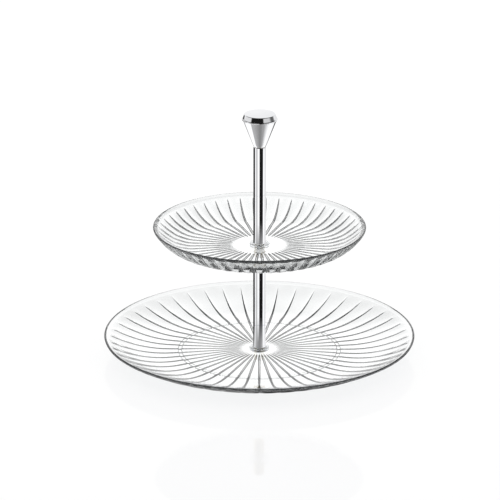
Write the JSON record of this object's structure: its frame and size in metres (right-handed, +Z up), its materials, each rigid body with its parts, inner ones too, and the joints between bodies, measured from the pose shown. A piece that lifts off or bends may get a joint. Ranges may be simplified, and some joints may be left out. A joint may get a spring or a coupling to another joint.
{
  "type": "tiered cake stand",
  "caption": "Tiered cake stand: a large and a small fluted glass dish clamped on a chromed tube stem, with a cone-shaped lifting knob on top.",
  "frame": {"origin": "on the table, at the centre of the lower dish's foot ring", "axes": "+Z up along the stem; the object is round, so +X and +Y are any two level directions"},
  "size_m": [0.32, 0.32, 0.2599],
  "materials": {
    "glass": "clear pressed glass",
    "chrome": "polished chrome plate",
    "satin_steel": "satin turned steel",
    "zinc_steel": "bright zinc plate",
    "brass": "turned brass",
    "clear_plastic": "translucent flexible plastic"
  },
  "bodies": {
    "base": {"lower_plate": "glass", "lower_plate_sleeve": "clear_plastic", "lower_plate_pad": "clear_plastic"},
    "base_screw": {"base_screw": "zinc_steel"},
    "lower_stem_washer": {"lower_stem_washer": "clear_plastic"},
    "lower_stem": {"lower_stem_tube": "chrome", "lower_stem_foot_bush": "brass", "lower_stem_top_bush": "brass", "joining_stud": "zinc_steel", "plate_collar": "satin_steel", "upper_plate_pad": "clear_plastic"},
    "upper_plate": {"upper_plate": "glass", "upper_plate_sleeve": "clear_plastic"},
    "upper_stem_washer": {"upper_stem_washer": "clear_plastic"},
    "upper_stem": {"upper_stem_tube": "chrome", "upper_stem_foot_bush": "brass", "upper_stem_top_bush": "brass", "knob_stud": "zinc_steel"},
    "knob_washer": {"knob_washer": "clear_plastic"},
    "knob": {"knob": "chrome", "knob_insert": "brass"}
  },
  "joints": [
    {"name": "base_screw_turn", "type": "hinge", "parent": "base", "child": "base_screw", "pos_m": [0, 0, 0], "axis": [0, 0, 1], "continuous": true},
    {"name": "lower_stem_rise", "type": "slide", "parent": "base_screw", "child": "lower_stem_washer", "axis": [0, 0, 1], "range_m": [0, 0.008]},
    {"name": "lower_stem_unscrew", "type": "hinge", "parent": "lower_stem_washer", "child": "lower_stem", "pos_m": [0, 0, 0], "axis": [0, 0, 1], "range_deg": [0, 2880]},
    {"name": "upper_plate_turn", "type": "hinge", "parent": "lower_stem", "child": "upper_plate", "pos_m": [0, 0, 0], "axis": [0, 0, 1], "continuous": true},
    {"name": "upper_stem_rise", "type": "slide", "parent": "lower_stem", "child": "upper_stem_washer", "axis": [0, 0, 1], "range_m": [0, 0.008]},
    {"name": "upper_stem_unscrew", "type": "hinge", "parent": "upper_stem_washer", "child": "upper_stem", "pos_m": [0, 0, 0], "axis": [0, 0, 1], "range_deg": [0, 2880]},
    {"name": "knob_rise", "type": "slide", "parent": "upper_stem", "child": "knob_washer", "axis": [0, 0, 1], "range_m": [0, 0.008]},
    {"name": "knob_unscrew", "type": "hinge", "parent": "knob_washer", "child": "knob", "pos_m": [0, 0, 0], "axis": [0, 0, 1], "range_deg": [0, 2880]}
  ],
  "couplings": [
    {"joint": "lower_stem_unscrew", "follows": "lower_stem_rise", "rad_per_m": 6283.2},
    {"joint": "upper_stem_unscrew", "follows": "upper_stem_rise", "rad_per_m": 6283.2},
    {"joint": "knob_unscrew", "follows": "knob_rise", "rad_per_m": 6283.2}
  ]
}
